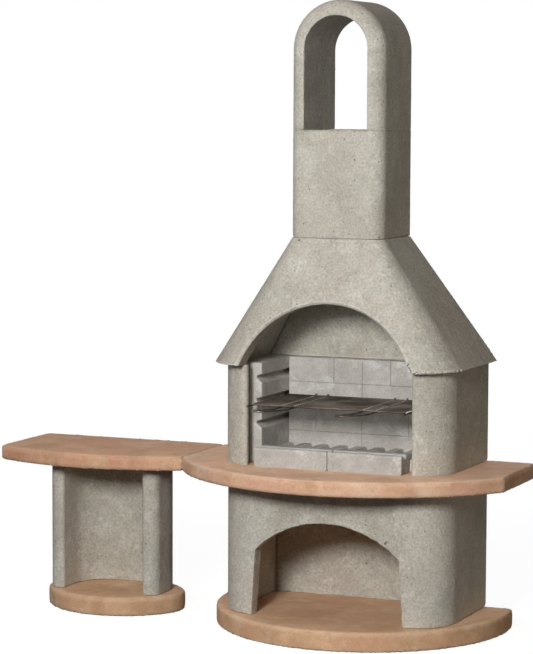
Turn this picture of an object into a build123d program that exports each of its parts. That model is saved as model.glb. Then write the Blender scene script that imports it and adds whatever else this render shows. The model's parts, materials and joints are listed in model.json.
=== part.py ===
from build123d import *
import os
from math import sqrt

# Outdoor masonry barbecue with a side table, built from separate castings. Millimetres.
# X runs to the right, Y to the back and Z up. The origin lies on the ground at the centre
# of the round base slab, and every casting of the main unit ends at one flat rear plane.

# Values shared by all pieces
overrun = 15.0                  # how far a cutting shape passes the face that it opens
seat_gap = 0.3                  # gap between a loose piece and what it leans on or lies in
joint_gap = 1.0                 # dry joint between two castings side by side
slab_arris = 5.0                # bevel along the outline of the terracotta slabs

# Base slab: a disc cut off straight at the rear
base_radius = 486.0
base_thickness = 64.0
base_setback = 100.0            # from the disc's centre to the rear plane

# Plinth with the wood store
plinth_width = 771.0
plinth_depth = 436.0            # rear plane to the front, where the bow starts
plinth_bow = 18.0               # how far the front swells past that
plinth_corner = 138.0
plinth_height = 430.0
plinth_wall = 48.0
store_foot_width = 512.0        # wood store opening at the ground
store_spring_width = 486.0      # the same where its arch springs
store_spring = 212.0            # height of the springing above the base slab
store_rise = 100.0
store_shoulder = 14.0           # rounding where jamb and arch meet

# Worktop slab
worktop_width = 1100.0
worktop_end_depth = 340.0
worktop_bow = 312.0
worktop_thickness = 50.0

# Firebox walls
firebox_width = 772.0
firebox_depth = 434.0           # rear plane to the front, where the bow starts
firebox_bow = 20.0
firebox_height = 322.0
pillar_corner = 132.0
pillar_nose = 14.0              # rounding of the pillar's edge at the mouth
pillar_lip = 44.0               # foremost line of the front to the rear face of the pillar's lip
mouth_width = 553.0             # between the two front pillars
rear_wall_thickness = 77.0

# Firebox lining of refractory plates
side_lining_thickness = 43.0
back_lining_thickness = 60.0
lining_gap = 513.0              # clear width between the side plates
lining_front = 365.0            # rear plane to the front face of the side plates
groove_count = 3
groove_first = 125.0            # worktop to the middle of the lowest groove
groove_pitch = 73.0
groove_mouth = 29.0
groove_back = 7.0
groove_depth = 18.0
groove_top_drop = 6.0           # drop of the groove's upper flank
course_count = 4
course_joint = 3.0              # width of a moulded brick joint
course_joint_depth = 2.5
upper_header_offset = 98.0      # moulded upright joint of the top course, from the middle
lower_header_offset = 161.0     # the same in the third course

# Hearth plates and the curb in front of them
hearth_thickness = 40.0
hearth_groove_count = 4
hearth_groove_width = 34.0
hearth_groove_depth = 13.0
hearth_groove_slope = 5.0       # how far each flank leans in
curb_width = 498.0
curb_depth = 78.0
curb_height = 60.0
curb_arris = 4.0                # rounding of the upper front edge
curb_notch_setback = 16.0       # front face to the notch along the top
curb_notch_width = 30.0
curb_notch_depth = 14.0
curb_notch_slope = 8.0

# Grill rack: long rods front to back with the cross wires welded on top
rack_width = 530.0
rack_depth = 316.0
rack_rear_gap = 3.0             # rear rod to the back lining
rod_diameter = 6.0
wire_diameter = 4.0
wire_count = 19
weld_sink = 0.6                 # how deep a wire is welded into a rod
rod_sides = 12                  # flats of a rod's section, which keep its crossings simple
wire_sides = 6
side_rod_tip = 14.0             # side rods stand out past the front rod
grip_offset = 137.0             # middle of each grip from the middle of the rack
grip_width = 42.0               # between the two rods of a grip
grip_reach = 230.0              # front rod to the nose of a grip
grip_lift = 13.0                # how far a grip rises from the front rod to its nose
grip_bend = 150.0               # bend radius where a grip starts to rise
grip_stop_height = 12.0         # turned-up rear ends of the grip rods
rack_groove = 1                 # groove that holds the rack, counted from 0

# Hood
hood_width = 836.0
hood_depth = 500.0
hood_height = 405.0
hood_corner = 170.0             # rounding of the slanted front edges at the foot, narrower above
hood_side_wall = 73.0           # level thickness of the walls at the foot
hood_front_wall = 78.0
hood_rear_wall = 92.0
hood_inner_corner = 60.0        # the same inside
arch_width = 572.0
arch_rise = 202.0
arch_bevel = 8.0                # bevel along the front arris of the arch

# Chimney block and the arched cowl on top of it
chimney_width = 311.0
chimney_depth = 273.0
chimney_setback = 121.0         # rear plane to the rear face
chimney_wall = 50.0
chimney_corner = 47.0
flue_corner = 16.0
chimney_height = 340.0
cowl_height = 406.0

# Side table
table_length = 675.0
table_bow = 80.0
table_nose = 22.0               # rounding of the free front corner
table_base_length = 486.0
table_base_width = 374.0
table_base_end_radius = 116.0   # the oval is drawn with four arcs, and this is the two ends'
table_base_setback = 202.0      # rear plane to the middle of the oval slab
table_base_offset = 306.0       # joint between the tops to the middle of the oval slab
support_width = 400.0
support_depth = 260.0
support_front = 302.0           # rear plane to the front of the wings
support_wall = 55.0
support_offset = 312.0          # joint between the tops to the middle of the support
support_inner_corner = 112.0    # the back is bent in a wide curve
support_nose_outer = 34.0
support_nose_inner = 14.0

# Levels and planes that follow from the values above
rear_y = base_setback
plinth_z = base_thickness
worktop_z = plinth_z + plinth_height
hearth_z = worktop_z + worktop_thickness
hood_z = hearth_z + firebox_height
chimney_z = hood_z + hood_height
cowl_z = chimney_z + chimney_height
lining_y = rear_y - rear_wall_thickness - back_lining_thickness
lining_front_y = rear_y - lining_front
pocket_x = lining_gap / 2 + side_lining_thickness + seat_gap
table_right_x = -worktop_width / 2


def bowed_plan(half_width, front_y, rear, corner, bow):
    """Plan with a crisp straight rear, two rounded front corners and a swelling front."""
    sides = Polyline((-half_width, front_y), (-half_width, rear), (half_width, rear), (half_width, front_y))
    front = ThreePointArc((-half_width, front_y), (0, front_y - bow), (half_width, front_y))
    face = make_face([*sides.edges(), front])
    return fillet(face.vertices().group_by(Axis.Y)[0], radius=corner)


def block_plan(half_width, front_y, rear, corner):
    """Rectangular plan with two rounded front corners."""
    outline = Polyline(
        (-half_width, front_y), (-half_width, rear), (half_width, rear), (half_width, front_y), close=True
    )
    return fillet(make_face(outline.edges()).vertices().group_by(Axis.Y)[0], radius=corner)


def top_plan(left_x, right_x, end_depth, bow):
    """Plan of a table top: straight rear and ends, and a front that is one circular arc."""
    front_y = rear_y - end_depth
    ends = Polyline((left_x, front_y), (left_x, rear_y), (right_x, rear_y), (right_x, front_y))
    front = ThreePointArc((left_x, front_y), ((left_x + right_x) / 2, front_y - bow), (right_x, front_y))
    return make_face([*ends.edges(), front])


def plate(plan, z, height):
    """A plan raised into a solid of one thickness."""
    return extrude(Pos(0, 0, z) * plan, amount=height, dir=(0, 0, 1))


def slab(plan, z, thickness):
    """Terracotta slab with a bevel along its upper and lower outline."""
    levels = plate(plan, z, thickness).edges().group_by(Axis.Z)
    return chamfer(levels[0] + levels[-1], length=slab_arris)


def oval_plan(half_length, half_width, end_radius):
    """Oval of four tangent arcs, two round ends and two flatter sides."""
    end_x = half_length - end_radius
    side_radius = (end_x ** 2 + half_width ** 2 - end_radius ** 2) / (2 * (half_width - end_radius))
    side_y = side_radius - half_width
    reach = side_radius / (side_radius - end_radius)
    x = end_x * reach
    y = side_y * reach - side_y
    right = ThreePointArc((x, -y), (half_length, 0), (x, y))
    back = ThreePointArc((x, y), (0, half_width), (-x, y))
    left = ThreePointArc((-x, y), (-half_length, 0), (-x, -y))
    front = ThreePointArc((-x, -y), (0, -half_width), (x, -y))
    return make_face([right, back, left, front])


def rectangle_at(half_width, front_y, rear, z):
    """The four corners of a level rectangle."""
    return [(-half_width, front_y, z), (half_width, front_y, z), (half_width, rear, z), (-half_width, rear, z)]


def corner_cone(low, high, low_corner, high_corner):
    """Cone that touches the front and the right face along the edge from low to high.

    With it comes the plane through its two lines of contact, which takes the sharp edge off.
    """
    rise = high - low
    apex = low + rise * (low_corner / (low_corner - high_corner))
    front = rise.cross(Vector(-1, 0, 0)).normalized()
    side = rise.cross(Vector(0, -1, 0)).normalized()
    front_line = (low - Vector(low_corner, 0, 0) - apex).normalized()
    flare = -front_line.dot(side) / (1 - front.dot(side))
    axis = (front_line - front * flare).normalized()
    side_line = axis - side * axis.dot(side)
    length = 2 * (apex - low).length
    base = Plane(origin=apex + axis * length, z_dir=-axis)
    cone = base * Cone(flare * length, 0, length, align=(Align.CENTER, Align.CENTER, Align.MIN))
    return cone, Plane(origin=apex, z_dir=front_line.cross(side_line))


def tapered_block(foot, top, foot_corner, top_corner):
    """Solid between two level rectangles, its two slanted front edges rounded by cones."""
    faces = [Face(Wire.make_polygon(foot)), Face(Wire.make_polygon(top))]
    for side in range(len(foot)):
        other = (side + 1) % len(foot)
        faces.append(Face(Wire.make_polygon([foot[side], foot[other], top[other], top[side]])))
    low = Vector(*foot[1])
    high = Vector(*top[1])
    cone, chord = corner_cone(low, high, foot_corner, top_corner)
    edge = split(cone, bisect_by=chord, keep=Keep.TOP)
    edge = split(edge, bisect_by=Plane.XY.offset(low.Z), keep=Keep.TOP)
    edge = split(edge, bisect_by=Plane.XY.offset(high.Z), keep=Keep.BOTTOM)
    right = split(Solid(Shell(faces)), bisect_by=Plane.YZ, keep=Keep.TOP)
    right = split(right, bisect_by=chord, keep=Keep.BOTTOM) + edge
    return right + mirror(right, about=Plane.YZ)


def toward_front(profile, start_y, length):
    """A profile drawn in X and Z, run from start_y toward the front."""
    return Pos(0, start_y, 0) * extrude(Plane.XZ * profile, amount=length)


def arch_profile(foot_width, spring_width, spring, rise, shoulder):
    """Opening with leaning jambs under a flat arch, its foot at Z = 0."""
    foot = foot_width / 2
    head = spring_width / 2
    jambs = Polyline((-head, spring), (-foot, 0), (foot, 0), (head, spring))
    arch = ThreePointArc((-head, spring), (0, spring + rise), (head, spring))
    face = make_face([*jambs.edges(), arch])
    return fillet(face.vertices().group_by(Axis.Y)[-1], radius=shoulder)


def trapezoid(mouth_low, mouth_high, back_low, back_high, depth):
    """Groove section: its mouth on Y = 0 and its narrower bottom at -depth."""
    points = Polyline(
        (mouth_low, overrun), (mouth_low, 0), (back_low, -depth), (back_high, -depth),
        (mouth_high, 0), (mouth_high, overrun), close=True
    )
    return make_face(points.edges())


def base_slab():
    """Round slab with its rear cut straight."""
    disc = Circle(base_radius)
    behind = Pos(0, rear_y + base_radius) * Rectangle(2 * base_radius, 2 * base_radius)
    return slab(disc - behind, 0, base_thickness)


def plinth():
    """Hollow plinth, open at top and bottom, with the arched wood store in its front."""
    half = plinth_width / 2
    front_y = rear_y - plinth_depth
    outer = bowed_plan(half, front_y, rear_y, plinth_corner, plinth_bow)
    inner = bowed_plan(
        half - plinth_wall, front_y + plinth_wall, rear_y - plinth_wall, plinth_corner - plinth_wall, plinth_bow
    )
    shell = plate(outer - inner, plinth_z, plinth_height)
    mouth = arch_profile(store_foot_width, store_spring_width, store_spring, store_rise, store_shoulder)
    cut = toward_front(mouth, front_y + 2 * plinth_wall, 2 * plinth_wall + plinth_bow + overrun)
    return shell - Pos(0, 0, plinth_z) * cut


def worktop_slab():
    """Half-round worktop."""
    half = worktop_width / 2
    return slab(top_plan(-half, half, worktop_end_depth, worktop_bow), worktop_z, worktop_thickness)


def side_wall():
    """Right wall of the firebox, which ends in a rounded pillar with a lip before the lining."""
    outer_x = firebox_width / 2
    mouth_x = mouth_width / 2
    front_y = rear_y - firebox_depth
    plan = bowed_plan(outer_x, front_y, rear_y, pillar_corner, firebox_bow)
    lip_y = front_y - firebox_bow + pillar_lip
    plan -= Pos(0, lip_y + firebox_depth / 2) * Rectangle(2 * pocket_x, firebox_depth)
    plan -= Pos(mouth_x - firebox_width, 0) * Rectangle(2 * firebox_width, 2 * firebox_width)
    lip = [corner for corner in plan.vertices() if corner.Y < lip_y + seat_gap]
    lip.sort(key=lambda corner: corner.X)
    return plate(fillet(lip[:2], radius=pillar_nose), hearth_z, firebox_height)


def rear_wall():
    """Rear wall between the two side walls."""
    width = 2 * (pocket_x - seat_gap)
    face = Pos(0, rear_y - rear_wall_thickness / 2) * Rectangle(width, rear_wall_thickness)
    return plate(face, hearth_z, firebox_height)


def side_lining():
    """Right lining plate with the three grooves that take the grill rack."""
    length = lining_front - rear_wall_thickness - seat_gap
    inner_x = lining_gap / 2
    body = plate(
        Pos(inner_x + side_lining_thickness / 2, lining_front_y + length / 2)
        * Rectangle(side_lining_thickness, length),
        hearth_z, firebox_height
    )
    mouth_low = -groove_mouth / 2
    mouth_high = groove_mouth / 2
    back_high = mouth_high - groove_top_drop
    section = trapezoid(mouth_low, mouth_high, back_high - groove_back, back_high, groove_depth)
    for step in range(groove_count):
        z = hearth_z + groove_first + step * groove_pitch
        place = Plane(origin=(inner_x, lining_front_y + length + overrun, z), x_dir=(0, 0, 1), z_dir=(0, -1, 0))
        body -= extrude(place * section, amount=length + 2 * overrun)
    return body


def back_lining():
    """Right back plate with its moulded brick joints."""
    width = lining_gap / 2 - seat_gap - joint_gap / 2
    left = joint_gap / 2
    centre_y = lining_y + back_lining_thickness / 2
    body = plate(Pos(left + width / 2, centre_y) * Rectangle(width, back_lining_thickness - seat_gap),
                 hearth_z, firebox_height)
    course = firebox_height / course_count
    face_y = lining_y + seat_gap / 2
    level = Box(2 * lining_gap, 2 * course_joint_depth, course_joint)
    for step in range(1, course_count):
        body -= Pos(0, face_y, hearth_z + step * course) * level
    upright = Box(course_joint, 2 * course_joint_depth, course)
    upper = hearth_z + (course_count - 1) * course + course / 2
    lower = hearth_z + course + course / 2
    body -= Pos(upper_header_offset, face_y, upper) * upright
    body -= Pos(lower_header_offset, face_y, lower) * upright
    return body


def hearth_plate():
    """Right hearth plate with air grooves that run front to back."""
    width = lining_gap / 2 - seat_gap - joint_gap / 2
    rear = lining_y - joint_gap
    front = lining_front_y + joint_gap / 2
    body = plate(
        Pos(joint_gap / 2 + width / 2, (rear + front) / 2) * Rectangle(width, rear - front),
        hearth_z, hearth_thickness
    )
    half = hearth_groove_width / 2
    low = half - hearth_groove_slope
    section = trapezoid(-half, half, -low, low, hearth_groove_depth)
    pitch = width / hearth_groove_count
    for step in range(hearth_groove_count):
        x = joint_gap / 2 + (step + 1 / 2) * pitch
        place = Plane(origin=(x, rear + overrun, hearth_z + hearth_thickness), x_dir=(1, 0, 0), z_dir=(0, -1, 0))
        body -= extrude(place * section, amount=rear - front + 2 * overrun)
    return body


def curb():
    """Right half of the curb that holds the embers, with a notch along its top."""
    width = (curb_width - joint_gap) / 2
    left = joint_gap / 2
    rear = lining_front_y - joint_gap / 2
    block = plate(
        Pos(left + width / 2, rear - curb_depth / 2) * Rectangle(width, curb_depth), hearth_z, curb_height
    )
    block = fillet(block.edges().filter_by(Axis.X).group_by(Axis.Y)[0].group_by(Axis.Z)[-1], radius=curb_arris)
    middle = curb_notch_setback + curb_notch_width / 2
    half = curb_notch_width / 2
    low = half - curb_notch_slope
    section = trapezoid(-half, half, -low, low, curb_notch_depth)
    start = (left - overrun, rear - curb_depth + middle, hearth_z + curb_height)
    place = Plane(origin=start, x_dir=(0, 1, 0), z_dir=(1, 0, 0))
    return block - extrude(place * section, amount=width + 2 * overrun)


def bar(start, end, section):
    """Steel bar of one section from one point to another."""
    direction = Vector(*end) - Vector(*start)
    place = Plane(origin=start, x_dir=(0, 0, 1), z_dir=direction)
    return extrude(place * section, amount=direction.length)


def rack_rod_z():
    """Height of the long rods: they lie on the lower flanks of their grooves."""
    flank_drop = groove_mouth - groove_top_drop - groove_back
    lean = flank_drop / groove_depth
    inset = rack_width / 2 - rod_diameter / 2 - lining_gap / 2
    mouth_z = hearth_z + groove_first + rack_groove * groove_pitch - groove_mouth / 2
    return mouth_z + lean * inset + (rod_diameter / 2 + seat_gap) * sqrt(1 + lean * lean)


def grip(middle_x, rear, front, z):
    """Hairpin grip: two rods under the wires that rise in front to a round nose, with turned-up rear ends."""
    half = grip_width / 2
    run = grip_reach - half - rod_diameter / 2
    rise = Vector(0, -run, grip_lift).normalized()
    left_end = Vector(middle_x - half, front - run, z + grip_lift)
    right_end = Vector(middle_x + half, front - run, z + grip_lift)
    nose = Vector(middle_x, front - run, z + grip_lift) + rise * half
    left = FilletPolyline((middle_x - half, rear, z), (middle_x - half, front, z), left_end, radius=grip_bend)
    right = FilletPolyline(right_end, (middle_x + half, front, z), (middle_x + half, rear, z), radius=grip_bend)
    path = Wire([*left.edges(), ThreePointArc(left_end, nose, right_end), *right.edges()])
    section = RegularPolygon(rod_diameter / 2, rod_sides, major_radius=False)
    pin = sweep(Plane(origin=(middle_x - half, rear, z), x_dir=(0, 0, 1), z_dir=(0, -1, 0)) * section, path=path)
    stop_y = rear - rod_diameter / 2
    for x in (middle_x - half, middle_x + half):
        pin += extrude(Plane(origin=(x, stop_y, z)) * section, amount=grip_stop_height)
    return pin


def grill_rack():
    """Welded rack: two side rods, two grips, thick front and rear rods and the cross wires."""
    thick = RegularPolygon(rod_diameter / 2, rod_sides, major_radius=False)
    thin = RegularPolygon(wire_diameter / 2, wire_sides, major_radius=False)
    z = rack_rod_z()
    rear = lining_y - rack_rear_gap
    front = rear - rack_depth
    side_x = rack_width / 2 - rod_diameter / 2
    half = rack_width / 2
    rods = [bar((x, rear, z), (x, front - side_rod_tip, z), thick) for x in (-side_x, side_x)]
    grips = [grip(x, rear, front, z) for x in (-grip_offset, grip_offset)]
    thick_z = z + rod_diameter - weld_sink
    wire_z = z + (rod_diameter + wire_diameter) / 2 - weld_sink
    first_y = front + rod_diameter / 2
    last_y = rear - rod_diameter - grip_stop_height / 2
    cross = [bar((-half, y, thick_z), (half, y, thick_z), thick) for y in (first_y, last_y)]
    pitch = (last_y - first_y) / (wire_count + 1)
    for step in range(1, wire_count + 1):
        y = first_y + step * pitch
        cross.append(bar((-half, y, wire_z), (half, y, wire_z), thin))
    return Part() + [*rods, *grips, *cross]


def hood():
    """Tapering hood with an arched mouth, hollow up to the flue."""
    foot_front = rear_y - hood_depth
    top_rear = rear_y - chimney_setback
    top_front = top_rear - chimney_depth
    foot = rectangle_at(hood_width / 2, foot_front, rear_y, hood_z)
    top = rectangle_at(chimney_width / 2, top_front, top_rear, chimney_z)
    hollow_foot = rectangle_at(
        hood_width / 2 - hood_side_wall, foot_front + hood_front_wall, rear_y - hood_rear_wall, hood_z
    )
    hollow_top = rectangle_at(
        chimney_width / 2 - chimney_wall, top_front + chimney_wall, top_rear - chimney_wall, chimney_z
    )
    body = tapered_block(foot, top, hood_corner, chimney_corner)
    body -= tapered_block(hollow_foot, hollow_top, hood_inner_corner, flue_corner)
    half = arch_width / 2
    base = Line((-half, 0), (half, 0))
    mouth = make_face([base, ThreePointArc((-half, 0), (0, arch_rise), (half, 0))])
    middle_y = (foot_front + rear_y) / 2
    cut = toward_front(mouth, middle_y, middle_y - foot_front + overrun)
    body -= Pos(0, 0, hood_z) * cut
    ceiling = hood_z + arch_rise + arch_bevel
    rim = [
        edge for edge in body.edges()
        if edge.center().Z > hood_z + arch_bevel
        and edge.bounding_box().max.Z < ceiling
        and edge.center().Y < foot_front + hood_front_wall
    ]
    return chamfer(rim, length=arch_bevel)


def chimney_block():
    """Hollow block between hood and cowl."""
    rear = rear_y - chimney_setback
    front = rear - chimney_depth
    half = chimney_width / 2
    outer = block_plan(half, front, rear, chimney_corner)
    flue = block_plan(half - chimney_wall, front + chimney_wall, rear - chimney_wall, flue_corner)
    return plate(outer - flue, chimney_z, chimney_height)


def chimney_cowl():
    """Arched cowl, open to front and rear, with a broadly rounded front arris."""
    rear = rear_y - chimney_setback
    outer = chimney_width / 2
    inner = outer - chimney_wall
    spring = cowl_height - outer

    def arch_face(half):
        """A stilted half round."""
        legs = Polyline((-half, spring), (-half, 0), (half, 0), (half, spring))
        return make_face([*legs.edges(), ThreePointArc((-half, spring), (0, spring + half), (half, spring))])

    body = Pos(0, 0, cowl_z) * toward_front(arch_face(outer), rear, chimney_depth)
    front_edges = body.edges().group_by(Axis.Y)[0]
    rim = [edge for edge in front_edges if edge.center().Z > cowl_z + seat_gap]
    body = fillet(rim, radius=chimney_corner)
    opening = toward_front(arch_face(inner), rear + overrun, chimney_depth + 2 * overrun)
    return body - Pos(0, 0, cowl_z) * opening


def table_base_slab():
    """Oval slab under the side table."""
    centre = Pos(table_right_x - table_base_offset, rear_y - table_base_setback)
    oval = oval_plan(table_base_length / 2, table_base_width / 2, table_base_end_radius)
    return slab(centre * oval, 0, base_thickness)


def table_support():
    """Upright of the side table: two wings joined by a back, open to the front."""
    middle = table_right_x - support_offset
    front = rear_y - support_front
    rear = front + support_depth
    half = support_width / 2
    outer = Pos(middle, (front + rear) / 2) * Rectangle(support_width, support_depth)
    outer = fillet(outer.vertices().group_by(Axis.Y)[-1], radius=support_inner_corner + support_wall)
    niche_rear = rear - support_wall
    niche = Pos(middle, (niche_rear + front - overrun) / 2) * Rectangle(
        support_width - 2 * support_wall, niche_rear - front + overrun
    )
    niche = fillet(niche.vertices().group_by(Axis.Y)[-1], radius=support_inner_corner)
    face = outer - niche
    noses = face.vertices().group_by(Axis.Y)[0].sort_by(Axis.X)
    face = fillet([noses[0], noses[-1]], radius=support_nose_outer)
    inner = [v for v in face.vertices().group_by(Axis.Y)[0] if abs(v.X - middle) < half - support_wall + joint_gap]
    face = fillet(inner, radius=support_nose_inner)
    return plate(face, plinth_z, plinth_height)


def table_top_slab():
    """Top of the side table: its right end meets the worktop and its free corner is rounded."""
    left = table_right_x - table_length
    face = top_plan(left, table_right_x, worktop_end_depth, table_bow)
    corner = face.vertices().group_by(Axis.Y)[0].sort_by(Axis.X)[0]
    face = fillet(corner, radius=table_nose)
    return slab(face, worktop_z, worktop_thickness)


def mirrored(solid):
    """The same piece for the left side."""
    return mirror(solid, about=Plane.YZ)


pieces = {
    "base_slab": base_slab(),
    "plinth": plinth(),
    "worktop_slab": worktop_slab(),
    "rear_wall": rear_wall(),
    "hood": hood(),
    "chimney_block": chimney_block(),
    "chimney_cowl": chimney_cowl(),
    "grill_rack": grill_rack(),
    "table_base_slab": table_base_slab(),
    "table_support": table_support(),
    "table_top_slab": table_top_slab(),
}
for name, make in (
    ("side_wall", side_wall), ("side_lining", side_lining), ("back_lining", back_lining),
    ("hearth_plate", hearth_plate), ("curb_block", curb),
):
    right = make()
    pieces[name + "_right"] = right
    pieces[name + "_left"] = mirrored(right)

os.makedirs("parts", exist_ok=True)
for name, piece in pieces.items():
    export_step(piece, "parts/" + name + ".step")
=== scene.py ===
"""Looks for the masonry barbecue: worn castings, a refractory lining and a welded steel rack."""

import json
import logging
import math
from dataclasses import dataclass, field, replace
from enum import Enum

import bmesh
import bpy
from mathutils import Matrix, Vector

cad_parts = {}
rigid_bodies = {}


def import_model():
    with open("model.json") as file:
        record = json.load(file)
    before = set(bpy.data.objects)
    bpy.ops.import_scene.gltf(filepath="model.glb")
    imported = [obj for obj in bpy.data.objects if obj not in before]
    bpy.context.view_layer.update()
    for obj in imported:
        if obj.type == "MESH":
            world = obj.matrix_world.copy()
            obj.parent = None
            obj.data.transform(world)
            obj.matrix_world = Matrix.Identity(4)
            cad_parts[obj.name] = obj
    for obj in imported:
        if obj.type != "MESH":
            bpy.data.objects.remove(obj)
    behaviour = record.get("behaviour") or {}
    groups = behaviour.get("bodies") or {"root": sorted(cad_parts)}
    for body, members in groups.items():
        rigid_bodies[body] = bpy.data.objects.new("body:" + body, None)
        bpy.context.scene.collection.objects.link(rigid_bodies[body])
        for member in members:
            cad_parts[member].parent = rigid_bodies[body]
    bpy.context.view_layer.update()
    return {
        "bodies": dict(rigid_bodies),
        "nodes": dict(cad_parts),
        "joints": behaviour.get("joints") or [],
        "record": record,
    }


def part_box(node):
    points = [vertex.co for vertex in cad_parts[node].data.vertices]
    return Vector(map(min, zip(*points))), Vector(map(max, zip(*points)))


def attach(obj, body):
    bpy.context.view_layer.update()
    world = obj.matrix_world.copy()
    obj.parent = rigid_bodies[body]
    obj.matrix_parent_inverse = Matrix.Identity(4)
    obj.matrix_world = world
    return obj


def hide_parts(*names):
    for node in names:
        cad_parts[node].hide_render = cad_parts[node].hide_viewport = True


LOG = logging.getLogger("barbecue")
FAR = 9.0  # Metres. Farther out than any point of the object.
Colour = tuple[float, float, float]
Point = tuple[float, float, float]
Span = tuple[float, float]
WHITE: Colour = (1.0, 1.0, 1.0)
RIGHTWARD: Point = (1.0, 0.0, 0.0)
UPWARD: Point = (0.0, 0.0, 1.0)


class Slot(Enum):
    """Material slots of the record."""

    CONCRETE = "concrete"
    TERRACOTTA = "terracotta"
    REFRACTORY = "refractory"
    STEEL = "rack_steel"


class Body(Enum):
    """Bodies that a piece can ride on."""

    MASONRY = "masonry"
    RACK = "rack"


def srgb(red: int, green: int, blue: int) -> Colour:
    """Linear colour of a display colour, by the standard sRGB curve.

    Args:
        red, green, blue: Display values from 0 to 255.

    Returns:
        The three linear values.
    """
    return tuple(
        c / 12.92 if c <= 0.04045 else ((c + 0.055) / 1.055) ** 2.4
        for c in (red / 255, green / 255, blue / 255)
    )


class Term:
    """Output of a node that takes part in plain arithmetic."""

    def __init__(self, sheet: "Sheet", socket: bpy.types.NodeSocket) -> None:
        """Keeps the sheet that the socket belongs to."""
        self.sheet = sheet
        self.socket = socket

    def _math(self, operation: str, *values: "float | Term") -> "Term":
        """A Math node on values, in the order given."""
        return self.sheet.node("ShaderNodeMath", {"operation": operation}, dict(enumerate(values)))

    def __add__(self, other: "float | Term") -> "Term":
        """self + other."""
        return self._math("ADD", self, other)

    def __sub__(self, other: "float | Term") -> "Term":
        """self - other."""
        return self._math("SUBTRACT", self, other)

    def __mul__(self, other: "float | Term") -> "Term":
        """self * other."""
        return self._math("MULTIPLY", self, other)

    def __truediv__(self, other: "float | Term") -> "Term":
        """self / other."""
        return self._math("DIVIDE", self, other)

    def __rtruediv__(self, other: float) -> "Term":
        """other / self."""
        return self._math("DIVIDE", other, self)

    def greatest(self, other: "float | Term") -> "Term":
        """The larger of the two."""
        return self._math("MAXIMUM", self, other)

    def ramp(self, low: "float | Term", high: "float | Term") -> "Term":
        """Smooth step from 0 at low to 1 at high; low may be the larger one."""
        return self.sheet.node(
            "ShaderNodeMapRange",
            {"interpolation_type": "SMOOTHSTEP"},
            {"Value": self, "From Min": low, "From Max": high, "To Min": 0.0, "To Max": 1.0},
        )

    def beside(self, name: str) -> "Term":
        """Another output of the same node."""
        return Term(self.sheet, self.socket.node.outputs[name])


class Sheet:
    """A node tree that is written from Python, for a finish or for a shape."""

    def __init__(self, tree: bpy.types.NodeTree) -> None:
        """Keeps the tree."""
        self.tree = tree

    def node(
        self,
        kind: str,
        settings: dict | None = None,
        inputs: dict | None = None,
        output: int | str = 0,
    ) -> Term:
        """Adds one node.

        Args:
            kind: Type name of the node.
            settings: Properties of the node, set first.
            inputs: Values or terms, by the socket's name or index.
            output: Name or index of the output that is wanted.

        Returns:
            That output.
        """
        node = self.tree.nodes.new(kind)
        for name, value in (settings or {}).items():
            setattr(node, name, value)
        for name, value in (inputs or {}).items():
            if isinstance(value, Term):
                self.tree.links.new(value.socket, node.inputs[name])
            else:
                node.inputs[name].default_value = value
        return Term(self, node.outputs[output])

    def link_out(self, kind: str, socket: str, result: Term) -> None:
        """Adds the tree's output node and links the result to it."""
        self.tree.links.new(result.socket, self.tree.nodes.new(kind).inputs[socket])

    def vector(self, operation: str, *values: "Point | Term", output: int | str = 0) -> Term:
        """A Vector Math node on values."""
        settings = {"operation": operation}
        return self.node("ShaderNodeVectorMath", settings, dict(enumerate(values)), output)

    def scaled(self, vector: Term, factor: "float | Term") -> Term:
        """A vector times a number."""
        given = {"Vector": vector, "Scale": factor}
        return self.node("ShaderNodeVectorMath", {"operation": "SCALE"}, given)

    def along(self, vector: Term, way: "Point | Term") -> Term:
        """Part of a vector that points along another."""
        return self.vector("DOT_PRODUCT", vector, way, output="Value")

    def noise(
        self,
        at: Term,
        size: "float | Term",
        detail: float = 3.0,
        rough: float = 0.55,
        twist: float = 0.0,
    ) -> Term:
        """Fractal noise from 0 to 1.

        Args:
            at: Place that it is read at, in metres.
            size: Width of one swell, in metres.
            detail: Number of finer layers.
            rough: Strength of the finer layers.
            twist: How far the pattern is bent.

        Returns:
            The value of the noise.
        """
        return self.node(
            "ShaderNodeTexNoise",
            {"noise_dimensions": "3D"},
            {
                "Vector": at,
                "Scale": 1.0 / size,
                "Detail": detail,
                "Roughness": rough,
                "Distortion": twist,
            },
        )


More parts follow.
